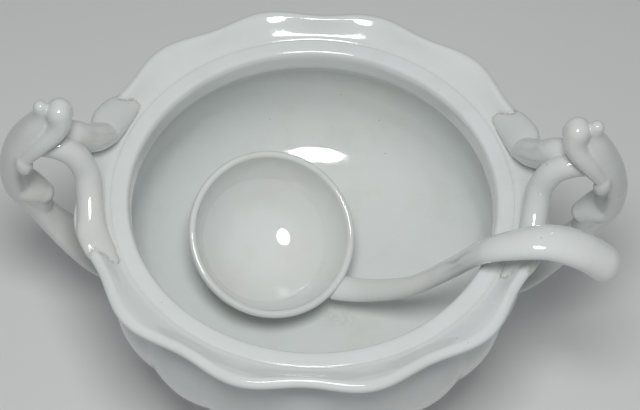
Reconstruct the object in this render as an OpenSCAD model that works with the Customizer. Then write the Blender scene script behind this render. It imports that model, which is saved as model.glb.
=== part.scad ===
// Soup tureen with two scrolled handles, and the ladle that lies in it.
// X runs from handle to handle, -Y is the front, +Z is up.
// The origin is on the table under the middle of the foot.

/* [Bowl] */
// Height of the ledge's inner edge, above the table
lip_h = 165; // [138:1:198]
// Half the length of the mouth, from left to right
mouth_r = 105; // [88:1:126]
// The bowl's width from front to back, as a share of its length
oval = 0.952; // [0.94:0.002:1]
// Width of the ledge that the lid sits on
ledge_w = 10.5; // [8:0.5:13]
// Rise of the ledge towards its outer edge
ledge_rise = 4; // [0:0.5:5]
// Mean width of the sloping rim outside the ledge
rim_w = 18; // [15:0.5:22]
// Rise of the rim's edge above the ledge's inner edge
rim_rise = 13.5; // [11:0.5:16]
// Depth of the rim's scallops, from mean to crown
scallop = 2.5; // [1:0.1:4]
// Number of scallops round the rim
scallops = 12; // [8:1:16]
// How far the rim's four corners stand out
corner = 0.8; // [0:0.1:2]
// How far the belly swells beyond the mouth
swell = 24.5; // [20:0.5:28]
// Depth of the belly's ribs, from crown to valley
rib = 2.4; // [1:0.1:3.5]
// Number of ribs round the belly
ribs = 20; // [14:1:24]
// Wall thickness of the bowl
wall = 6; // [5:0.5:7]
// Drop from the ledge to the underside of the bowl
bowl_drop = 116; // [108:1:124]

/* [Foot] */
// Radius of the foot where it stands
foot_r = 73; // [66:1:88]
// Radius of the foot's waist
waist_r = 54; // [45:1:60]
// Wall thickness of the foot
foot_wall = 8; // [6:0.5:9]
// Height of the foot's plinth
plinth_h = 7; // [5:0.5:9]

/* [Handles] */
// How far each handle stands out beyond the rim
handle_out = 45.5; // [43:0.5:50]
// Thickness of the handle arms
arm_d = 16; // [13:0.5:17]
// Height of the scroll's top above the ledge
scroll_top = 78; // [74:0.5:84]
// Half-width of the scroll across the handle
scroll_w = 13; // [11:0.5:15]
// Radius of the scroll's large knob
knob_r = 8.5; // [7:0.25:10]
// Depth that a luted piece is let into its neighbour
lute = 1.5; // [1:0.1:2]

/* [Ladle] */
// Outer radius of the ladle's bowl
ladle_r = 53; // [44:0.5:56]
// Depth of the ladle's bowl, outside
ladle_drop = 48; // [40:0.5:51]
// Wall thickness of the ladle's bowl
ladle_wall = 4.5; // [3.5:0.25:5.5]
// Greatest width of the ladle's handle
tip_w = 27; // [24:0.5:29]
// Room between the ladle and the floor that it rests on
rest_gap = 0.4; // [0.3:0.1:1]

/* [Hidden] */

glaze = [0.86, 0.87, 0.88];
ladle_glaze = [0.85, 0.85, 0.84];

// ---- smooth curves and lofts -------------------------------------------

function unit(v) = v / norm(v);
function pick(list, i) = list[max(0, min(len(list) - 1, i))];
// A point between b and c on the smooth curve a, b, c, d
function between(a, b, c, d, t) =
    0.5 * (2 * b + (c - a) * t + (2 * a - 5 * b + 4 * c - d) * t * t
        + (3 * b - a - 3 * c + d) * t * t * t);
// The same curve with a number of steps to each gap
function smooth(list, steps) = [
    for (i = [0:len(list) - 2])
        for (s = [0:steps - 1])
            between(pick(list, i - 1), list[i], list[i + 1], pick(list, i + 2), s / steps),
    list[len(list) - 1]];

// A closed solid through rings that all have the same number of points
module skin(rings) {
    n = len(rings[0]);
    last = len(rings) - 1;
    sides = [
        for (i = [0:last - 1])
            for (k = [0:n - 1])
                for (f = [
                    [i * n + k, (i + 1) * n + k, (i + 1) * n + (k + 1) % n],
                    [i * n + k, (i + 1) * n + (k + 1) % n, i * n + (k + 1) % n]])
                    f];
    start = [for (k = [0:n - 1]) k];
    end = [for (k = [0:n - 1]) last * n + n - 1 - k];
    polyhedron([for (r = rings) for (p = r) p], concat(sides, [start], [end]), convexity = 6);
}

// A station of a bar is [x, y, z, half width, half thickness]
function spot(s) = [s[0], s[1], s[2]];
function heading(path, i) = unit(spot(pick(path, i + 1)) - spot(pick(path, i - 1)));
// The thickness direction at each station, carried along the path without twist
function rises(path, up, i = 0) =
    i == len(path) ? [] :
    let (along = heading(path, i), rise = unit(up - (up * along) * along))
        concat([rise], rises(path, rise, i + 1));
function ring(s, along, rise, grow, shift, n) =
    let (side = cross(along, rise))
    [for (k = [0:n - 1])
        spot(s) + along * shift
            + side * s[3] * grow * cos(360 * k / n)
            + rise * s[4] * grow * sin(360 * k / n)];
dome = [75, 50, 25];
// A round-ended bar along the smooth path through some stations
module bar(stations, up, steps = 3, n = 14) {
    path = smooth(stations, steps);
    rise = rises(path, up);
    last = len(path) - 1;
    skin(concat(
        [for (a = dome)
            ring(path[0], heading(path, 0), rise[0], cos(a), -path[0][4] * sin(a), n)],
        [for (i = [0:last])
            ring(path[i], heading(path, i), rise[i], 1, 0, n)],
        [for (j = [len(dome) - 1:-1:0])
            ring(path[last], heading(path, last), rise[last], cos(dome[j]),
                path[last][4] * sin(dome[j]), n)]));
}

// A round bar through balls, each [x, y, z, radius]
module beads(list, n = 14) {
    for (i = [0:len(list) - 2])
        hull()
            for (s = [list[i], list[i + 1]])
                translate(spot(s))
                    sphere(s[3], $fn = n);
}

// ---- bowl ----------------------------------------------------------------

rim_r = mouth_r + ledge_w + rim_w;
belly_r = mouth_r + swell;
neck_r = mouth_r + ledge_w + 1;
rim_h = lip_h + rim_rise;
rim_thick = 6.5;
bottom_h = lip_h - bowl_drop;
floor_h = bottom_h + wall;
inner_r = belly_r - wall;
steps_round = 120;

// Outside from the axis up to the rim: [radius, height, share of scallop, share of rib]
outside = [
    [0.5, bottom_h, 0, 0],
    [waist_r - 14, bottom_h + 0.5, 0, 0],
    [belly_r - 52, bottom_h + 4, 0, 0.2],
    [belly_r - 29, bottom_h + 12, 0, 0.6],
    [belly_r - 11, bottom_h + 27, 0, 1],
    [belly_r - 2, bottom_h + 48, 0, 1],
    [belly_r, lip_h - 44, 0, 1],
    [belly_r - 4, lip_h - 25, 0, 1],
    [neck_r + 3.5, lip_h - 14, 0, 0.6],
    [neck_r + 1.5, lip_h - 8.5, 0.1, 0.1],
    [(neck_r + rim_r) / 2, lip_h + 1.5, 0.6, 0],
    [rim_r - 3, rim_h - rim_thick, 1, 0],
    [rim_r, rim_h - rim_thick / 2, 1, 0],
    [rim_r - 2.5, rim_h - 0.3, 1, 0]];
// Top of the rim, ledge, throat and inside, down to the axis
inside = [
    [rim_r - 5, rim_h - 0.5, 0.9, 0],
    [rim_r - 10, lip_h + (ledge_rise + rim_rise) * 0.48, 0.4, 0],
    [mouth_r + ledge_w, lip_h + ledge_rise, 0, 0],
    [mouth_r + 1.5, lip_h, 0, 0],
    [mouth_r, lip_h - 1.5, 0, 0],
    [mouth_r, lip_h - 11, 0, 0],
    [mouth_r + 2, lip_h - 13.5, 0, 0],
    [inner_r - 5, lip_h - 30, 0, 0],
    [inner_r - 2.5, floor_h + 50, 0, 0],
    [inner_r - 15, floor_h + 22, 0, 0],
    [inner_r - 45, floor_h + 4, 0, 0],
    [40, floor_h + 0.2, 0, 0],
    [0.5, floor_h, 0, 0]];

// Radius at angle a of the profile point p
function lobed(p, a) =
    p[0] + p[2] * (scallop * cos(scallops * (a - 45)) + corner * cos(4 * (a - 45)))
        - p[3] * rib * (1 - abs(cos(ribs / 2 * (a + 90))));

module bowl() {
    color(glaze)
        skin([for (p = concat(smooth(outside, 2), smooth(inside, 2)))
            [for (k = [0:steps_round - 1])
                let (a = -360 * k / steps_round, r = lobed(p, a))
                [r * cos(a), oval * r * sin(a), p[1]]]]);
}

// ---- foot ----------------------------------------------------------------

module foot() {
    stem = bottom_h - plinth_h;
    seat_h = bottom_h + lute;
    hollow_r = waist_r - foot_wall;
    outer = smooth([
        [foot_r - 1.5, 0],
        [foot_r, 2],
        [foot_r - 1, plinth_h],
        [waist_r + 7, plinth_h + stem * 0.25],
        [waist_r, plinth_h + stem * 0.6],
        [waist_r + 3, plinth_h + stem * 0.88],
        [waist_r + 7, seat_h]], 4);
    inner = smooth([
        [hollow_r + 5, seat_h],
        [hollow_r, plinth_h + stem * 0.6],
        [hollow_r + 6, plinth_h + stem * 0.22],
        [foot_r - foot_wall - 2.5, plinth_h - 2],
        [foot_r - foot_wall - 1.5, 0]], 4);
    color(glaze)
        rotate_extrude($fn = 96)
            polygon(concat(outer, inner));
}

// ---- handles, drawn on the right side ------------------------------------
// Their places are counted from the rim's narrow radius and the ledge's inner edge

arm_r = arm_d / 2;
narrow_r = rim_r - scallop;
// Height of the seam between scroll and lower arm
seam_h = lip_h + 24;
module at_rim() {
    translate([narrow_r, 0, lip_h])
        children();
}

module scroll_mass() {
    back_w = scroll_w - 8;
    outer_x = handle_out - 9.5;
    for (s = [-1, 1]) {
        beads([
            [5.5, s, scroll_top - knob_r, knob_r],
            [6, s * 5, scroll_top - 20, 6.5],
            [11.5, s * 8, 51, 6],
            [18.5, s * (scroll_w - 3), 44, 5.5],
            [22.5, s * (scroll_w - 2), 34, 5.5]]);
        beads([
            [15.5, s, scroll_top - 7, 5],
            [18, s * 3, 59, 7],
            [26, s * back_w, 49, 8],
            [33, s * back_w, 35, 8],
            [outer_x, s * back_w, 27, 8],
            [outer_x, s * back_w, 18, 8]]);
    }
}

// Everything above the seam between scroll and lower arm
module above_seam() {
    translate([-200, -200, seam_h - lip_h])
        cube([400, 400, 200]);
}

module scroll() {
    color(glaze)
        at_rim()
            intersection() {
                scroll_mass();
                above_seam();
            }
}

module lower_arm() {
    head_x = handle_out - 9.5;
    // The root lies on the belly
    root_x = belly_r - narrow_r - 11;
    root_z = 22 - bowl_drop;
    color(glaze)
        at_rim()
            difference() {
                union() {
                    for (s = [-1, 1])
                        beads([
                            [head_x, s * 4, 28, 8],
                            [head_x - 0.5, s * 4, 6, 9],
                            [head_x - 5, s * 3, -16, 7.5],
                            [head_x - 12, s * 3, -38, 7],
                            [head_x - 21, s * 5, -60, 6.5],
                            [root_x + 16.5, s * 8, root_z + 16, 6],
                            [root_x, s * 10, root_z, 5]]);
                    beads([
                        [head_x - 3, 0, 10, 9],
                        [head_x - 12.5, 0, -1, 8.5],
                        [head_x - 10, 0, -12, 7]]);
                }
                above_seam();
            }
}

module front_arm() {
    color(glaze)
        at_rim()
            bar([
                [-27, -55.5, 10, 5, 2.5],
                [-20, -50, 11.5, 10, 3.5],
                [-12.5, -40.5, 13.5, 10.5, 5.5],
                [-8.5, -27, 14.5, 9, arm_r - 1],
                [-7, -15.5, 18.5, arm_r, arm_r],
                [-5, -8, 27, arm_r, arm_r],
                [0.5, -4, 37, arm_r, arm_r],
                [10, -3, 42, arm_r - 1, arm_r],
                [20, -3, 41, arm_r - 2, arm_r - 1]], [0, 0, 1]);
}

module back_arm() {
    color(glaze)
        at_rim()
            bar([
                [-12, 28.5, 16.5, arm_r, arm_r - 2],
                [-9, 21, 20, arm_r - 0.5, arm_r - 1],
                [-4.5, 13, 27, arm_r - 0.5, arm_r - 0.5],
                [1.5, 7, 36, arm_r - 1, arm_r - 1],
                [13, 3, 42, arm_r - 2, arm_r - 2]], [0, 0, 1]);
}

module back_leaf() {
    color(glaze)
        at_rim()
            bar([
                [-26, 57.5, 10, 4, 2],
                [-21, 52.5, 11.8, 9, 4],
                [-14.5, 44, 14, 11.5, 6],
                [-10, 34, 15.5, 11.5, 6.5],
                [-11, 27, 15.5, 9, 5]], [0, 0, 1]);
}

module left() {
    mirror([1, 0, 0])
        children();
}

// ---- ladle ---------------------------------------------------------------

ladle_tilt = 24;
ladle_turn = -50;
// Radius of the ball that the ladle's bowl is cut from
ball_r = (ladle_r * ladle_r + ladle_drop * ladle_drop) / (2 * ladle_drop);
// Height of the middle of the ladle's rim, with its bowl just clear of the floor
ladle_h = floor_h + rest_gap + ball_r - cos(ladle_tilt) * (ball_r - ladle_drop);
ladle_x = narrow_r - 155.5;
ladle_y = 7.5;

// The ladle is drawn with its rim's middle at the origin
module ladle_bowl() {
    ball_z = ball_r - ladle_drop;
    hollow_r = ball_r - ladle_wall;
    rim_angle = asin(ball_z / ball_r);
    edge_r = ladle_wall / 2;
    mid_r = ball_r - edge_r;
    function arc(r, from, to, cx, cz, steps) = [for (i = [0:steps])
        let (a = from + (to - from) * i / steps)
        [cx + r * cos(a), cz + r * sin(a)]];
    outer = arc(ball_r, -90, -rim_angle, 0, ball_z, 24);
    edge = arc(edge_r, -rim_angle, 180 - rim_angle, mid_r * cos(rim_angle), 0, 8);
    inner = arc(hollow_r, -rim_angle, -90, 0, ball_z, 24);
    function on_axis(p) = [max(0, abs(p[0]) < 0.001 ? 0 : p[0]), p[1]];
    color(ladle_glaze)
        translate([ladle_x, ladle_y, ladle_h])
            rotate([0, 0, ladle_turn])
                rotate([0, ladle_tilt, 0])
                    rotate_extrude($fn = 96)
                        polygon([for (p = concat(outer, edge, inner)) on_axis(p)]);
}

module ladle_handle() {
    lean = [sin(ladle_tilt) * cos(ladle_turn), sin(ladle_tilt) * sin(ladle_turn), cos(ladle_tilt)];
    middle = [ladle_x, ladle_y, ladle_h] + (ball_r - ladle_drop) * lean;
    out = unit([40, -21, -32]);
    function near(far, dx, dz, w, t) = concat(middle + (ball_r + far) * out + [dx, 0, dz], [w, t]);
    function over(x, y, z, w, t) = [narrow_r + x, y, lip_h + z, w, t];
    color(ladle_glaze)
        bar([
            near(1, 0, 0, 9, 5.5),
            near(14, 9, 14, 8, 5.5),
            over(-71, -29, -56, 7, 5),
            over(-50, -33, -24, 7.2, 5),
            over(-41, -40, 4, 7.5, 5.2),
            over(-34, -44.5, 20, 8, 5.5),
            over(-18, -46, 30, 10, 6.5),
            over(-4, -46, 32.5, 11.5, 7),
            over(13, -48, 29, tip_w / 2 - 1, 8),
            over(26, -50.5, 21, tip_w / 2 - 2, 9.5)], [0, 0, 1]);
}

bowl();
foot();
left() scroll();  // handle_left_scroll
left() front_arm();  // handle_left_front_arm
left() back_arm();  // handle_left_back_arm
left() back_leaf();  // handle_left_back_leaf
left() lower_arm();  // handle_left_lower_arm
scroll();  // handle_right_scroll
front_arm();  // handle_right_front_arm
back_arm();  // handle_right_back_arm
back_leaf();  // handle_right_back_leaf
lower_arm();  // handle_right_lower_arm
ladle_bowl();
ladle_handle();
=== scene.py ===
"""Glazed soup tureen with scrolled handles and a loose ladle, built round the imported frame."""

import bpy
import math
from mathutils import Matrix, Vector
from mathutils.bvhtree import BVHTree


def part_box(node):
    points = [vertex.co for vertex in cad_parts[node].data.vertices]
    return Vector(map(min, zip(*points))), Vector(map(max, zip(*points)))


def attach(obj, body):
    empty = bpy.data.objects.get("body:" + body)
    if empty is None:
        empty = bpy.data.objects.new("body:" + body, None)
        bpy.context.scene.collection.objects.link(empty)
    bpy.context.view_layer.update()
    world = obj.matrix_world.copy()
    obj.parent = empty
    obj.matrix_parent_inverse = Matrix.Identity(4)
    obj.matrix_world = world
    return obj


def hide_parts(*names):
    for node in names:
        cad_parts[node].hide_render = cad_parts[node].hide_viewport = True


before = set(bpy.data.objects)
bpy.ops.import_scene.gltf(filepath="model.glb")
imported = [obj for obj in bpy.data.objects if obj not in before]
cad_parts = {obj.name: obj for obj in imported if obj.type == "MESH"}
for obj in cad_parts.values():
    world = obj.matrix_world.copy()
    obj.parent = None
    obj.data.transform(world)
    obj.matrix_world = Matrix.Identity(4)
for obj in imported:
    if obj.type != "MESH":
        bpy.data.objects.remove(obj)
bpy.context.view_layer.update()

# ---- sizes, in millimetres unless a name says otherwise --------------------

MM = 0.001
RIM_RISE = 13.5
LEDGE_RISE = 4.0
LEDGE_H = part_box("bowl")[1].z / MM - RIM_RISE + 0.3
BOTTOM_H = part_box("bowl")[0].z / MM
MOUTH_R = 105.0
OVAL = 0.952
LEDGE_W = 10.5
RIM_R = 133.5
RIM_THICK = 6.5
BELLY_R = 129.5
WALL = 6.0
SCALLOP = 2.5
SCALLOPS = 12
CORNER = 0.8
CORNERS = 4
RIB = 2.4
RIBS = 20
NARROW_R = RIM_R - SCALLOP
FOOT_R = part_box("foot")[1].x / MM
SEAM_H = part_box("handle_right_scroll")[0].z / MM - LEDGE_H

# ---- how finely things are drawn ---------------------------------------------

PROFILE_STEPS = 4
BOWL_TURNS = 360
FOOT_TURNS = 192
LADLE_TURNS = 160
DOUBLES = 0.00001
CLAY_VOXEL = 0.8


# ---- smooth curves ---------------------------------------------------------

def between(a, b, c, d, t):
    """A point between b and c on the smooth curve through a, b, c and d."""
    return [0.5 * (2 * q + (r - p) * t + (2 * p - 5 * q + 4 * r - s) * t * t
                   + (3 * q - p - 3 * r + s) * t ** 3) for p, q, r, s in zip(a, b, c, d)]


def smooth(stations, steps):
    """The curve through some stations, with a number of steps to each gap."""
    last = len(stations) - 1
    path = []
    for i in range(last):
        ends = stations[max(i - 1, 0)], stations[i], stations[i + 1], stations[min(i + 2, last)]
        path += [between(*ends, s / steps) for s in range(steps)]
    return path + [list(stations[last])]


def step(low, high, value):
    """0 below low, 1 above high, and a soft rise between them."""
    t = min(1.0, max(0.0, (value - low) / (high - low)))
    return t * t * (3 - 2 * t)


# ---- modelling by hand -------------------------------------------------------

def clear():
    """Leaves edit mode and selects nothing."""
    if bpy.context.object and bpy.context.object.mode != "OBJECT":
        bpy.ops.object.mode_set(mode="OBJECT")
    bpy.ops.object.select_all(action="DESELECT")


def named(name):
    """Gives the active object and its mesh a name."""
    piece = bpy.context.object
    piece.name = name
    piece.data.name = name
    return piece


def only(piece):
    """Selects one piece and nothing else."""
    clear()
    piece.select_set(True)
    bpy.context.view_layer.objects.active = piece


def apply(piece, kind, **settings):
    """Adds a modifier and applies it."""
    only(piece)
    mod = piece.modifiers.new(kind.lower(), kind)
    for key, value in settings.items():
        setattr(mod, key, value)
    bpy.ops.object.modifier_apply(modifier=mod.name)


def outward(piece):
    """Merges doubles and turns every face outwards."""
    only(piece)
    bpy.ops.object.mode_set(mode="EDIT")
    bpy.ops.mesh.select_all(action="SELECT")
    bpy.ops.mesh.remove_doubles(threshold=DOUBLES)
    bpy.ops.mesh.normals_make_consistent(inside=False)
    bpy.ops.object.mode_set(mode="OBJECT")
    bpy.ops.object.shade_smooth()


def turn(rotation, centre):
    """Turns what is selected about a point."""
    for axis, angle in zip("XYZ", rotation.to_euler("XYZ")):
        bpy.ops.transform.rotate(value=-angle, orient_axis=axis, center_override=centre)


def stretch(axes, factors, centre):
    """Scales what is selected along three axes, given as the columns of a matrix."""
    bpy.ops.transform.resize(value=factors, orient_type="GLOBAL", orient_matrix=axes,
                             orient_matrix_type="GLOBAL", center_override=centre)


def frames(path, up):
    """Side, thickness and travel directions along a path, carried without twist."""
    result = []
    rise = Vector(up)
    last = len(path) - 1
    for i in range(len(path)):
        along = Vector(path[min(i + 1, last)][:3]) - Vector(path[max(i - 1, 0)][:3])
        along.normalize()
        rise = (rise - along * rise.dot(along)).normalized()
        result.append(Matrix((rise.cross(along), rise, along)).transposed())
    return result


# angles, in degrees, of the rings that round off a bar's end
DOME = (80, 62, 42, 20)


def bar(name, stations, up=(0, 0, 1), sides=16, steps=4, ends=(1.0, 1.0)):
    """A round-ended bar drawn out ring by ring.

    A station is [x, y, z, half width, half thickness] in mm from the table, and ends
    says how far each round end reaches, in half thicknesses.
    """
    path = smooth(stations, steps)
    axes = frames(path, up)
    rings = [(Vector(p[:3]), a, p[3], p[4]) for p, a in zip(path, axes)]
    first, last = rings[0], rings[-1]

    def cap(ring, angle, sense):
        centre, axes, wide, thick = ring
        reach = thick * ends[0 if sense < 0 else 1]
        shift = axes.col[2] * sense * reach * math.sin(math.radians(angle))
        shrink = math.cos(math.radians(angle))
        return centre + shift, axes, wide * shrink, thick * shrink

    rings = [cap(first, a, -1) for a in DOME] + rings + [cap(last, a, 1) for a in DOME[::-1]]
    clear()
    bpy.ops.mesh.primitive_circle_add(vertices=sides, radius=MM, fill_type="NGON")
    piece = named(name)
    bpy.ops.object.mode_set(mode="EDIT")
    bpy.ops.mesh.select_all(action="SELECT")
    here, now, wide, thick = Vector((0, 0, 0)), Matrix.Identity(3), 1.0, 1.0
    for number, (centre, axes, new_wide, new_thick) in enumerate(rings):
        move = {"value": (centre - here) * MM}
        if number:
            bpy.ops.mesh.extrude_region_move(TRANSFORM_OT_translate=move)
        else:
            bpy.ops.transform.translate(**move)
        spot = centre * MM
        stretch(now, (new_wide / wide, new_thick / thick, 1), spot)
        turn(axes @ now.transposed(), spot)
        here, now, wide, thick = centre, axes, new_wide, new_thick
    outward(piece)
    apply(piece, "SUBSURF", levels=1, render_levels=1)
    bpy.ops.object.shade_smooth()
    return piece


def ball(name, centre, radius, stretched):
    """A ball of clay, longer or shorter along each axis."""
    clear()
    bpy.ops.mesh.primitive_uv_sphere_add(segments=32, ring_count=20, radius=radius * MM,
                                         location=Vector(centre) * MM, scale=stretched)
    bpy.ops.object.transform_apply(location=True, rotation=True, scale=True)
    return named(name)


def lathe(name, profile, turns):
    """A profile of [radius, height] points, drawn point by point and spun."""
    clear()
    bpy.ops.mesh.primitive_plane_add(size=MM)
    piece = named(name)
    bpy.ops.object.mode_set(mode="EDIT")
    bpy.ops.mesh.select_all(action="SELECT")
    bpy.ops.mesh.merge(type="CENTER")
    here = Vector((0, 0, 0))
    for number, point in enumerate(profile):
        there = Vector((point[0], 0, point[1]))
        move = {"value": (there - here) * MM}
        if number:
            bpy.ops.mesh.extrude_region_move(TRANSFORM_OT_translate=move)
        else:
            bpy.ops.transform.translate(**move)
        here = there
    bpy.ops.mesh.select_all(action="SELECT")
    bpy.ops.mesh.spin(steps=turns, angle=math.tau, center=(0, 0, 0), axis=(0, 0, 1))
    outward(piece)
    return piece


def melt(name, parts, rounds):
    """Joins overlapping parts into one soft clay form, smoothed a number of rounds."""
    clear()
    for part in parts:
        part.select_set(True)
    bpy.context.view_layer.objects.active = parts[0]
    bpy.ops.object.join()
    piece = named(name)
    apply(piece, "REMESH", mode="VOXEL", voxel_size=CLAY_VOXEL * MM, use_smooth_shade=True)
    apply(piece, "SMOOTH", factor=0.5, iterations=rounds)
    return piece


def cut_flat(piece, height, keep_above):
    """Cuts a piece at a height above the table and closes the cut."""
    only(piece)
    bpy.ops.object.mode_set(mode="EDIT")
    bpy.ops.mesh.select_all(action="SELECT")
    bpy.ops.mesh.bisect(plane_co=(0, 0, height * MM), plane_no=(0, 0, 1), use_fill=True,
                        clear_inner=keep_above, clear_outer=not keep_above)
    bpy.ops.object.mode_set(mode="OBJECT")


def mirrored(piece, name):
    """A copy on the left, with its own mesh."""
    only(piece)
    bpy.ops.object.duplicate()
    copy = named(name)
    bpy.ops.object.mode_set(mode="EDIT")
    bpy.ops.mesh.select_all(action="SELECT")
    bpy.ops.transform.resize(value=(-1, 1, 1), center_override=(0, 0, 0))
    bpy.ops.mesh.normals_make_consistent(inside=False)
    bpy.ops.object.mode_set(mode="OBJECT")
    return copy


# ---- bowl and foot -----------------------------------------------------------

RIM_H = LEDGE_H + RIM_RISE
NECK_R = MOUTH_R + LEDGE_W + 1
FLOOR_H = BOTTOM_H + WALL
INNER_R = BELLY_R - WALL

# [radius, height, share of scallop, share of rib]
OUTSIDE = [
    [0, BOTTOM_H, 0, 0],
    [20, BOTTOM_H, 0, 0],
    [40, BOTTOM_H + 0.5, 0, 0],
    [BELLY_R - 52, BOTTOM_H + 4, 0, 0.2],
    [BELLY_R - 29, BOTTOM_H + 12, 0, 0.6],
    [BELLY_R - 11, BOTTOM_H + 27, 0, 1],
    [BELLY_R - 2, BOTTOM_H + 48, 0, 1],
    [BELLY_R, LEDGE_H - 44, 0, 1],
    [BELLY_R - 4, LEDGE_H - 25, 0, 1],
    [NECK_R + 2.4, LEDGE_H - 13.5, 0, 0.6],
    [NECK_R - 0.2, LEDGE_H - 8, 0.1, 0.1],
    [(NECK_R + RIM_R) / 2, LEDGE_H + 1.5, 0.6, 0],
    [RIM_R - 3.2, RIM_H - RIM_THICK, 1, 0],
    [RIM_R - 0.4, RIM_H - RIM_THICK * 0.72, 1, 0],
    [RIM_R, RIM_H - RIM_THICK * 0.4, 1, 0],
    [RIM_R - 1.0, RIM_H - 1.2, 1, 0],
    [RIM_R - 3.2, RIM_H - 0.3, 1, 0]]
INSIDE = [
    [RIM_R - 5.6, RIM_H - 1.0, 0.9, 0],
    [RIM_R - 8, LEDGE_H + RIM_RISE - 2.9, 0.6, 0],
    [RIM_R - 11, LEDGE_H + RIM_RISE - 5.6, 0.3, 0],
    [MOUTH_R + LEDGE_W + 3.4, LEDGE_H + LEDGE_RISE + 1.2, 0.05, 0],
    [MOUTH_R + LEDGE_W + 0.9, LEDGE_H + LEDGE_RISE + 0.1, 0, 0],
    [MOUTH_R + LEDGE_W, LEDGE_H + LEDGE_RISE - 0.35, 0, 0],
    [MOUTH_R + LEDGE_W - 0.9, LEDGE_H + LEDGE_RISE - 0.05, 0, 0],
    [MOUTH_R + LEDGE_W * 0.6, LEDGE_H + LEDGE_RISE - 0.3, 0, 0],
    [MOUTH_R + 3, LEDGE_H + 3.2, 0, 0],
    [MOUTH_R + 1.2, LEDGE_H + 2.3, 0, 0],
    [MOUTH_R + 0.3, LEDGE_H + 0.4, 0, 0],
    [MOUTH_R, LEDGE_H - 2, 0, 0],
    [MOUTH_R, LEDGE_H - 7, 0, 0],
    [MOUTH_R + 0.1, LEDGE_H - 11, 0, 0],
    [MOUTH_R + 1.4, LEDGE_H - 13, 0, 0],
    [MOUTH_R + 5.5, LEDGE_H - 15.5, 0, 0],
    [INNER_R - 8.5, LEDGE_H - 23, 0, 0],
    [INNER_R - 4.2, LEDGE_H - 36, 0, 0],
    [INNER_R - 3.2, FLOOR_H + 52, 0, 0],
    [INNER_R - 8, FLOOR_H + 35, 0, 0],
    [INNER_R - 18, FLOOR_H + 22, 0, 0],
    [INNER_R - 33, FLOOR_H + 13.2, 0, 0],
    [INNER_R - 53, FLOOR_H + 6.8, 0, 0],
    [INNER_R - 73, FLOOR_H + 2.8, 0, 0],
    [INNER_R - 95, FLOOR_H + 0.5, 0, 0],
    [12, FLOOR_H, 0, 0],
    [0, FLOOR_H, 0, 0]]


def lobes(share, angle):
    """How far the wall stands off its mean radius at an angle."""
    _, _, rim, belly = share
    crest = angle - math.pi / 4
    crown = SCALLOP * math.cos(SCALLOPS * crest) + CORNER * math.cos(CORNERS * crest)
    rib = abs(math.cos(RIBS / 2 * (angle + math.pi / 2)))
    return rim * crown - belly * RIB * (1 - rib)


def make_bowl():
    """Spins the bowl, waves its rim and belly, and presses it slightly oval."""
    profile = smooth(OUTSIDE, PROFILE_STEPS) + smooth(INSIDE, PROFILE_STEPS)
    piece = lathe("bowl_body", profile, BOWL_TURNS)
    table = {(round(point[0], 1), round(point[1], 1)): point for point in profile}
    for vertex in piece.data.vertices:
        x, y, z = vertex.co / MM
        radius = math.hypot(x, y)
        share = table.get((round(radius, 1), round(z, 1)))
        if share is None:
            share = min(profile, key=lambda p: abs(p[0] - radius) + abs(p[1] - z))
        if share[2] or share[3]:
            grow = 1 + lobes(share, math.atan2(y, x)) / radius
            vertex.co.x *= grow
            vertex.co.y *= grow
    only(piece)
    bpy.ops.object.mode_set(mode="EDIT")
    bpy.ops.mesh.select_all(action="SELECT")
    bpy.ops.transform.resize(value=(1, OVAL, 1), center_override=(0, 0, 0))
    bpy.ops.object.mode_set(mode="OBJECT")
    return piece


def make_foot():
    """A hollow stem on a spread ring."""
    stem = BOTTOM_H - 7
    profile = smooth([
        [FOOT_R - 7.5, 0], [FOOT_R - 4, 0], [FOOT_R - 1.4, 0.6], [FOOT_R - 0.1, 3],
        [FOOT_R - 1.0, 6.5], [FOOT_R - 3.6, 8], [FOOT_R - 8.5, 11], [FOOT_R - 14.5, 16.5],
        [FOOT_R - 18.3, 24], [FOOT_R - 19, 7 + stem * 0.62], [FOOT_R - 17.5, BOTTOM_H - 8],
        [FOOT_R - 15.8, BOTTOM_H - 4.5], [FOOT_R - 16.4, BOTTOM_H - 1],
        [FOOT_R - 17.5, BOTTOM_H + 1.2]], PROFILE_STEPS)
    profile += smooth([
        [FOOT_R - 25, BOTTOM_H + 1.2], [FOOT_R - 26, BOTTOM_H - 6], [FOOT_R - 27, 7 + stem * 0.6],
        [FOOT_R - 24, 20], [FOOT_R - 16, 9], [FOOT_R - 11.5, 4],
        [FOOT_R - 9.5, 0.8]], PROFILE_STEPS)
    profile.append(profile[0])
    return lathe("foot_ring", profile, FOOT_TURNS)


# ---- handles, made on the right and mirrored -----------------------------------

def at_rim(x, y, z):
    """Counts x from the rim's narrow radius and z from the ledge's inner edge."""
    return NARROW_R + x, y, LEDGE_H + z


def from_rim(stations):
    return [[*at_rim(*s[:3]), *s[3:]] for s in stations]


# the stations round the seam, shared by the scroll above it and the arm below it
SEAM_STATIONS = [[30, 0, 38.5, 13, 8.3], [35.4, 0, 25.6, 12.8, 8.3], [37.9, 0, 12.7, 12, 8.5]]
SHELL_UP = (0.8, 0, 0.6)
RIM_SLOPE = (-0.45, 0, 0.9)


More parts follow.
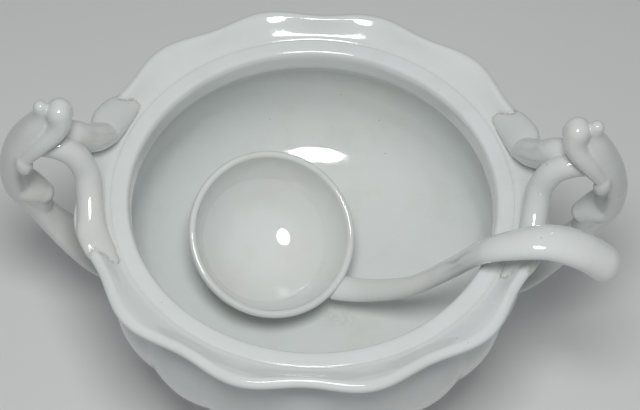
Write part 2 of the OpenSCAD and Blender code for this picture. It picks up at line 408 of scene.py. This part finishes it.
def make_scroll():
    """A thick shell with a curl and a drop down each side."""
    parts = [
        bar("shell", from_rim([
            [13.9, 0, 73.8, 4.1, 4.1], [14.2, 0, 68.5, 4.8, 4.4], [17, 0, 60.5, 8.2, 6.7],
            [23.3, 0, 50, 11.2, 7.8]] + SEAM_STATIONS), up=SHELL_UP)]
    for side in (-1, 1):
        parts.append(bar("curl", from_rim([
            [4.6, side * 1.2, 70.6, 6.9, 6.9], [4.4, side * 3.4, 65, 6.4, 6.4],
            [7, side * 6.4, 60, 5.6, 5.6], [11, side * 8.6, 56, 5.1, 5.1],
            [16.2, side * 10.3, 51, 4.8, 4.8], [21, side * 11.4, 46, 4.3, 4.3],
            [24.2, side * 12.2, 42.3, 4, 4], [25.8, side * 12.8, 38.6, 4.6, 4.6]])))
        parts.append(ball("drop", at_rim(25.3, side * 13, 38.4), 5, (0.95, 0.95, 1.4)))
    piece = melt("scroll", parts, 5)
    cut_flat(piece, LEDGE_H + SEAM_H, keep_above=True)
    return piece


def make_lower_arm():
    """The arm down to the belly, with the lobe and web on its inner side."""
    parts = [
        bar("arm", from_rim(SEAM_STATIONS + [
            [38.1, 0, 0, 11, 8.8], [35.5, 0, -12, 9.5, 8.4], [31.5, 0, -24, 8.7, 7.8],
            [26, 0, -40, 10.5, 7.3], [18, 0, -58, 13.5, 6.6], [6, 0, -77, 16.5, 6],
            [-11, 0, -93, 18, 5]]), up=SHELL_UP),
        bar("lobe", from_rim([
            [36, 0, 0, 11, 8], [33, 0, -3, 10.8, 8.6], [29, 0, -6.4, 9.2, 7.8],
            [25.6, 0, -9.4, 7.4, 6.2]])),
        bar("web", from_rim([
            [31.5, 0, -8, 9.5, 8.5], [29.6, 0, -16, 8, 7.4], [29.5, 0, -28, 7, 6.5]]), up=(1, 0, 0))]
    piece = melt("lower_arm", parts, 9)
    cut_flat(piece, LEDGE_H + SEAM_H, keep_above=False)
    return piece


def make_front_arm():
    """From a flat leaf on the rim, up and over to the scroll."""
    return bar("front_arm", from_rim([
        [-24, -54.2, 5, 4.5, 2], [-18.2, -49.7, 7.4, 8.4, 3.2], [-13.6, -43.3, 9.4, 9.2, 4.4],
        [-10.7, -37, 10.8, 9.2, 5.6], [-9.5, -31, 12, 8.2, 6.6], [-8.5, -24, 14.6, 7.6, 7],
        [-7.4, -16, 19, 7.5, 7.3], [-6, -8.5, 27, 7.4, 7.2], [-1, -5, 37.5, 7.2, 7],
        [8, -4, 44, 7, 7], [20, -3, 44, 6.5, 6.5]]), up=RIM_SLOPE, sides=20, steps=5)


def make_back_arm():
    """From the back leaf up to the scroll."""
    return bar("back_arm", from_rim([
        [-9, 24.5, 16, 9.2, 7.2], [-6.6, 18.7, 21.5, 9, 8.4], [-3, 12, 30, 8.6, 8.4],
        [1.5, 7, 40.5, 8, 8], [12, 3, 46, 7, 7]]), sides=20, steps=5)


def make_back_leaf():
    """The leaf that lies on the rim behind the handle."""
    return bar("back_leaf", from_rim([
        [-21.8, 54.7, 6.8, 6, 2.4], [-17.2, 49, 8.6, 9.2, 3.8], [-13.6, 42.4, 10.6, 10.3, 4.8],
        [-10.8, 34.5, 12.5, 10.6, 5.6], [-9.5, 26, 14, 9, 5.6]]), up=RIM_SLOPE, sides=20, steps=5)


# ---- ladle ---------------------------------------------------------------------

LADLE_R = 53.0
LADLE_DROP = 48.0
LADLE_WALL = 4.5
LADLE_GAP = 0.4
LADLE_TILT = math.radians(24)
LADLE_TURN = math.radians(-50)
BALL_R = (LADLE_R ** 2 + LADLE_DROP ** 2) / (2 * LADLE_DROP)
LADLE_RIM = Vector((NARROW_R - 155.5, 7.5,
                    FLOOR_H + LADLE_GAP + BALL_R - math.cos(LADLE_TILT) * (BALL_R - LADLE_DROP)))
LADLE_SET = Matrix.Rotation(LADLE_TURN, 3, "Z") @ Matrix.Rotation(LADLE_TILT, 3, "Y")


def make_ladle_bowl():
    """Part of a ball with a round lip and a thicker, flatter floor, tilted into its place."""
    ball_z = BALL_R - LADLE_DROP
    hollow = BALL_R - LADLE_WALL
    edge = LADLE_WALL / 2

    def arc(radius, start, end, x, z, steps):
        angles = [math.radians(start + (end - start) * i / steps) for i in range(steps + 1)]
        return [[x + radius * math.cos(a), z + radius * math.sin(a)] for a in angles]

    rise = math.degrees(math.asin(ball_z / BALL_R))
    middle = BALL_R - edge
    dish = [[33, -29.5], [27, -34.2], [20, -37.4], [10, -39.6], [0, -40.2]]
    profile = (arc(BALL_R, -90, -rise - 3, 0, ball_z, 28)
               + arc(edge, -rise, 180 - rise, middle * math.cos(math.radians(rise)), 0, 12)
               + smooth(arc(hollow, -rise - 3, -36, 0, ball_z, 8) + dish, 3))
    profile[0][0] = profile[-1][0] = 0
    piece = lathe("ladle_cup", profile, LADLE_TURNS)
    bpy.ops.object.mode_set(mode="EDIT")
    bpy.ops.mesh.select_all(action="SELECT")
    turn(LADLE_SET, (0, 0, 0))
    bpy.ops.transform.translate(value=LADLE_RIM * MM)
    bpy.ops.object.mode_set(mode="OBJECT")
    return piece


def make_ladle_handle():
    """From the ladle's wall, up past the throat and over the rim on the right."""
    middle = LADLE_RIM + LADLE_SET @ Vector((0, 0, BALL_R - LADLE_DROP))
    out = Vector((40, -21, -32)).normalized()
    root = middle + out * (BALL_R + 1)
    second = middle + out * (BALL_R + 14) + Vector((9, 0, 14))
    stations = [[*root, 9, 5.5], [*second, 8, 5.5]] + from_rim([
        [-71, -29, -56, 7, 5], [-50, -33, -24, 7.2, 5], [-41, -40, 4, 7.5, 5.2],
        [-34, -44.5, 20, 8, 5.5], [-18, -46, 30, 10, 6.5], [-4, -46, 32.5, 11.5, 7],
        [13, -48, 29, 12.5, 8], [26, -50.5, 21, 11.5, 9.5]])
    return bar("ladle_handle_bar", stations, sides=20, steps=5, ends=(1.0, 1.1))


# ---- shader maths ----------------------------------------------------------------

class Value:
    """A socket that takes part in sums; each sum adds a Math node."""

    def __init__(self, paint, socket):
        self.paint = paint
        self.socket = socket

    def math(self, operation, other, swap=False):
        pair = [other, self] if swap else [self, other]
        return self.paint.node("ShaderNodeMath", {"operation": operation}, dict(enumerate(pair)))

    def __add__(self, other):
        return self.math("ADD", other)

    __radd__ = __add__

    def __sub__(self, other):
        return self.math("SUBTRACT", other)

    def __rsub__(self, other):
        return self.math("SUBTRACT", other, swap=True)

    def __mul__(self, other):
        return self.math("MULTIPLY", other)

    __rmul__ = __mul__


class Paint:
    """One material and its nodes."""

    def __init__(self, name):
        self.material = bpy.data.materials.new(name)
        self.material.use_nodes = True
        self.nodes = self.material.node_tree.nodes
        self.links = self.material.node_tree.links
        self.shader = self.nodes["Principled BSDF"]

    def set(self, socket, value):
        if isinstance(value, Value):
            self.links.new(value.socket, socket)
        else:
            socket.default_value = value

    def node(self, kind, settings=None, values=None, output=0):
        """A node of any kind: its settings first, then the values or links of its sockets."""
        node = self.nodes.new(kind)
        for key, value in (settings or {}).items():
            setattr(node, key, value)
        for key, value in (values or {}).items():
            self.set(node.inputs[key], value)
        return Value(self, node.outputs[output])

    def place(self):
        return self.node("ShaderNodeTexCoord", output="Object")

    def noise(self, scale, detail, roughness=0.5, offset=None):
        where = self.place()
        if offset:
            where = self.node("ShaderNodeMapping", values={"Vector": where, "Location": offset})
        return self.node("ShaderNodeTexNoise", values={
            "Vector": where, "Scale": scale, "Detail": detail, "Roughness": roughness})

    def ramp(self, value, low, high):
        """0 at low, 1 at high, and a soft rise between."""
        return self.node("ShaderNodeMapRange", {"interpolation_type": "SMOOTHSTEP"},
                         {"Value": value, "From Min": low, "From Max": high})

    def mix(self, factor, first, second):
        node = self.nodes.new("ShaderNodeMix")
        node.data_type = "RGBA"
        for key, value in ((0, factor), (6, first), (7, second)):
            self.set(node.inputs[key], value)
        return Value(self, node.outputs[2])

    def attribute(self, name):
        return self.node("ShaderNodeAttribute", {"attribute_name": name}, output="Fac")

    def finish(self, **inputs):
        for key, value in inputs.items():
            self.set(self.shader.inputs[key.replace("_", " ")], value)
        return self.material


PIT_SHARE = 0.06
PIT_COLOUR = (0.10, 0.075, 0.05, 1)


def glaze(name, cool, warm, stain_colour):
    """Glossy clear glaze over white clay, with drift in tone, stains, pits and a soft ripple."""
    paint = Paint(name)
    drift = paint.ramp(paint.noise(9, 2), 0.35, 0.65)
    colour = paint.mix(drift, cool, warm)
    cloud = paint.ramp(paint.noise(38, 4, 0.6, (0.3, 0.1, 0.7)), 0.45, 0.8)
    colour = paint.mix(cloud * 0.12, colour, stain_colour)
    breakup = paint.ramp(paint.noise(420, 3, 0.7), 0.38, 0.62)
    seam = paint.attribute("stain")
    colour = paint.mix(seam * (0.1 + 0.6 * breakup), colour, stain_colour)
    cells = {"Vector": paint.place(), "Scale": 190.0}
    near = paint.node("ShaderNodeTexVoronoi", values=cells, output="Distance")
    pick = paint.node("ShaderNodeSeparateColor", values={
        0: paint.node("ShaderNodeTexVoronoi", values=cells, output="Color")})
    pit = paint.ramp(near, 0.075, 0.04) * paint.ramp(pick, 1 - PIT_SHARE, 1 - PIT_SHARE * 0.8)
    colour = paint.mix(pit * 0.85, colour, PIT_COLOUR)
    ripple = paint.noise(70, 2) * 0.6 + paint.noise(260, 2) * 0.15
    height = ripple - pit * 0.8 - seam * breakup * 0.5
    bump = paint.node("ShaderNodeBump", values={
        "Height": height, "Strength": 0.2, "Distance": 0.0012}, output="Normal")
    rough = 0.055 + 0.07 * paint.ramp(paint.noise(55, 4, 0.6), 0.4, 0.8) + 0.35 * seam * breakup
    paint.shader.inputs["IOR"].default_value = 1.52
    paint.shader.inputs["Coat Roughness"].default_value = 0.04
    return paint.finish(Base_Color=colour, Roughness=rough, Coat_Weight=0.35, Normal=bump)


# ---- stains along the seams ---------------------------------------------------------

SEAM_SEARCH = 0.006
SEAM_REACH = 1.0


def mark_seams(piece, others):
    """Writes how close each point lies to a neighbour, for the stain along the joint."""
    trees = [BVHTree.FromPolygons([v.co for v in o.data.vertices],
                                  [p.vertices for p in o.data.polygons]) for o in others]
    layer = piece.data.attributes.new("stain", "FLOAT", "POINT")
    for vertex, datum in zip(piece.data.vertices, layer.data):
        value = 0.0
        for tree in trees:
            hit = tree.find_nearest(vertex.co, SEAM_SEARCH)
            if hit[0] is not None:
                value = max(value, 1 - step(0, SEAM_REACH, hit[3] / MM))
        datum.value = value


SPOT_X = 20
SPOT_Y = -25
SPOT_LONG = 1.4


def mark_bowl(piece):
    """Adds a faint old spot on the floor of the bowl and a line in the ledge's crease."""
    for vertex, datum in zip(piece.data.vertices, piece.data.attributes["stain"].data):
        x, y, z = vertex.co / MM
        if FLOOR_H - 1 < z < FLOOR_H + 8:
            spot = math.hypot(x - SPOT_X, (y - SPOT_Y) * SPOT_LONG)
            datum.value += 0.3 * (1 - step(3, 17, spot))
        if abs(z - LEDGE_H - LEDGE_RISE) < 1.5:
            groove = abs(math.hypot(x, y / OVAL) - MOUTH_R - LEDGE_W)
            datum.value += 0.1 * (1 - step(0, 2.5, groove))


TIP = 2.0
TIP_FROM = 40
TIP_TO = 75


def tip_right(piece):
    """Pushes the top of a hand-set handle a little to the right."""
    for vertex in piece.data.vertices:
        vertex.co.x += TIP * MM * step(TIP_FROM, TIP_TO, vertex.co.z / MM - LEDGE_H)


# ---- assembly -------------------------------------------------------------------------

makers = {
    "scroll": make_scroll, "front_arm": make_front_arm, "back_arm": make_back_arm,
    "back_leaf": make_back_leaf, "lower_arm": make_lower_arm}
pieces = {"bowl": make_bowl(), "foot": make_foot(),
          "ladle_bowl": make_ladle_bowl(), "ladle_handle": make_ladle_handle()}
for part, make in makers.items():
    right = make()
    right.name = right.data.name = "right_" + part
    pieces["handle_right_" + part] = right
    pieces["handle_left_" + part] = mirrored(right, "left_" + part)
for side in ("left", "right"):
    tip_right(pieces[f"handle_{side}_scroll"])

body_glaze = glaze(
    "body_glaze", (0.715, 0.75, 0.74, 1), (0.735, 0.757, 0.742, 1), (0.40, 0.345, 0.22, 1))
# The handles take the body's white glaze painted darker: painted shade that holds back the extra
# light they catch from the nearby lamp.
handle_glaze = glaze(
    "handle_glaze", (0.66, 0.685, 0.675, 1), (0.685, 0.69, 0.66, 1), (0.32, 0.27, 0.20, 1))
ladle_glaze = glaze(
    "ladle_glaze", (0.72, 0.745, 0.737, 1), (0.74, 0.748, 0.722, 1), (0.42, 0.35, 0.24, 1))


def finish_of(node):
    """A slot name and the material for a node's piece; only the material is put on the piece."""
    if node.startswith("ladle"):
        return "ladle_glaze", ladle_glaze
    if node.startswith("handle"):
        return "handle_glaze", handle_glaze
    return "glaze", body_glaze


for node, piece in pieces.items():
    slot, material = finish_of(node)
    piece.data.materials.clear()
    piece.data.materials.append(material)
    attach(piece, "ladle" if node.startswith("ladle") else "tureen")
    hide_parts(node)

leaves = [pieces[f"handle_{side}_{part}"] for side in ("left", "right")
          for part in ("front_arm", "back_leaf")]
mark_seams(pieces["bowl"], leaves)
mark_bowl(pieces["bowl"])
for leaf in leaves:
    mark_seams(leaf, [pieces["bowl"]])

# ---- floor, camera and light ----------------------------------------------------------

clear()
FLOOR_SIZE = 12
bpy.ops.mesh.primitive_plane_add(size=FLOOR_SIZE, location=(0, 0, 0))
floor = named("floor")
floor_paint = Paint("floor_paint")
floor_tone = floor_paint.mix(floor_paint.ramp(floor_paint.noise(3, 2), 0.3, 0.7),
                             (0.70, 0.705, 0.70, 1), (0.72, 0.722, 0.715, 1))
floor.data.materials.append(floor_paint.finish(Base_Color=floor_tone, Roughness=0.7))


def lamp(name, place, target, size, power):
    """A round soft lamp whose light falls off with distance rather than with its square."""
    clear()
    bpy.ops.object.light_add(type="AREA", location=place)
    light = bpy.context.object
    light.name = name
    light.data.shape = "DISK"
    light.data.size = size
    light.data.energy = power
    light.data.use_nodes = True
    falloff = light.data.node_tree.nodes.new("ShaderNodeLightFalloff")
    falloff.inputs["Strength"].default_value = 1 / (Vector(target) - Vector(place)).length
    emission = light.data.node_tree.nodes["Emission"]
    light.data.node_tree.links.new(falloff.outputs["Linear"], emission.inputs["Strength"])
    light.rotation_euler = (Vector(target) - Vector(place)).to_track_quat("-Z", "Y").to_euler()


VIEW_ELEVATION = math.radians(58.5)
VIEW_AZIMUTH = math.radians(0.15)
VIEW_ROLL = math.radians(1.95)
VIEW_DISTANCE = 0.657
VIEW_LENS = 64.6875
SENSOR = 36
LAMP_RISE = 0.16
LAMP_SIZE = 0.22
LAMP_POWER = 2.75
FILL_COLOUR = (0.90, 0.93, 0.95, 1)
FILL_STRENGTH = 0.3
back = Vector((math.sin(VIEW_AZIMUTH) * math.cos(VIEW_ELEVATION),
               -math.cos(VIEW_AZIMUTH) * math.cos(VIEW_ELEVATION), math.sin(VIEW_ELEVATION)))
level = Vector((math.cos(VIEW_AZIMUTH), math.sin(VIEW_AZIMUTH), 0))
right_axis = math.cos(VIEW_ROLL) * level + math.sin(VIEW_ROLL) * back.cross(level)
up_axis = back.cross(right_axis)
aim = Vector((0.0043, -0.0080, LEDGE_H * MM))
bpy.ops.object.camera_add()
camera = bpy.context.object
camera.name = "view"
camera.data.sensor_width = SENSOR
camera.data.lens = VIEW_LENS
rotation = Matrix((right_axis, up_axis, back)).transposed().to_4x4()
camera.matrix_world = Matrix.Translation(aim + back * VIEW_DISTANCE) @ rotation
bpy.context.scene.camera = camera
bpy.context.scene.view_settings.view_transform = "Standard"

eye = camera.matrix_world.translation
lamp("softbox", eye + up_axis * LAMP_RISE, aim, LAMP_SIZE, LAMP_POWER)
world = bpy.data.worlds.new("studio")
bpy.context.scene.world = world
world.use_nodes = True
background = world.node_tree.nodes["Background"]
background.inputs["Color"].default_value = FILL_COLOUR
background.inputs["Strength"].default_value = FILL_STRENGTH
